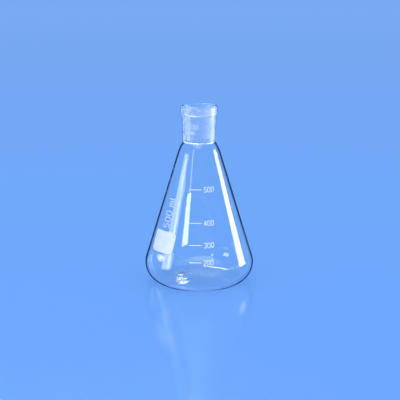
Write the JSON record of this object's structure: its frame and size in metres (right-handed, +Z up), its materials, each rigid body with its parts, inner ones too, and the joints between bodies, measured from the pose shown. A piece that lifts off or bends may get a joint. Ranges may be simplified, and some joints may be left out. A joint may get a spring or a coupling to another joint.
{
  "type": "erlenmeyer flask",
  "caption": "Clear glass conical laboratory flask with a rounded heel, printed level lines, a white writing field and a ground-glass socket with a beaded mouth.",
  "frame": {"origin": "centre of the foot ring, on the surface that the flask stands on", "axes": "+Z up along the flask's axis, -Y towards the front with the level lines, +X to the right seen from the front"},
  "size_m": [0.105, 0.105, 0.1725],
  "materials": {
    "clear_glass": "clear, fire-polished",
    "ground_glass": "clear outside, finely ground inside",
    "white_enamel": "satin fired enamel, opaque",
    "print_enamel": "satin fired enamel, thin print"
  },
  "bodies": {
    "root": {"flask_body": "clear_glass", "ground_socket": "ground_glass", "label_field": "white_enamel", "capacity_mark": "print_enamel", "tolerance_mark": "print_enamel", "joint_size_mark": "print_enamel", "graduation_line_200": "print_enamel", "graduation_line_300": "print_enamel", "graduation_line_400": "print_enamel", "graduation_line_500": "print_enamel", "numerals_200": "print_enamel", "numerals_300": "print_enamel", "numerals_400": "print_enamel", "numerals_500": "print_enamel"}
  },
  "joints": []
}
